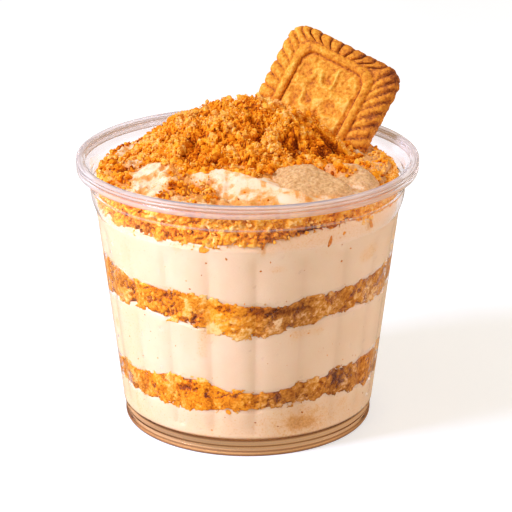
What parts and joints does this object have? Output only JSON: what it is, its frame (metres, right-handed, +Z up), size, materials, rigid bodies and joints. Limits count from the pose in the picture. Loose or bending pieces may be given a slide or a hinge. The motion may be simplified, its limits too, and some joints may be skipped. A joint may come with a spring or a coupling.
{
  "type": "speculoos tiramisu in a clear cup",
  "caption": "Layered dessert in a clear flared cup: cream and biscuit crumbs in turn, swirled cream and a crumb heap on top, with a fluted biscuit stuck in.",
  "frame": {"origin": "on the table, under the middle of the cup's foot", "axes": "+Z up, -Y towards the viewer of the front, +X to the viewer's right"},
  "size_m": [0.092, 0.092, 0.1011],
  "materials": {
    "clear_plastic": "clear thin polished plastic",
    "cream": "soft satin whipped cream",
    "crumb": "dry crushed biscuit, rough",
    "biscuit": "baked biscuit, matt with a slight sheen on its ridges"
  },
  "bodies": {
    "root": {"cup": "clear_plastic", "cream_1": "cream", "crumb_1": "crumb", "cream_2": "cream", "crumb_2": "crumb", "cream_3": "cream", "crumb_3": "crumb", "cream_top": "cream", "crumb_mound": "crumb", "biscuit": "biscuit"}
  },
  "joints": []
}
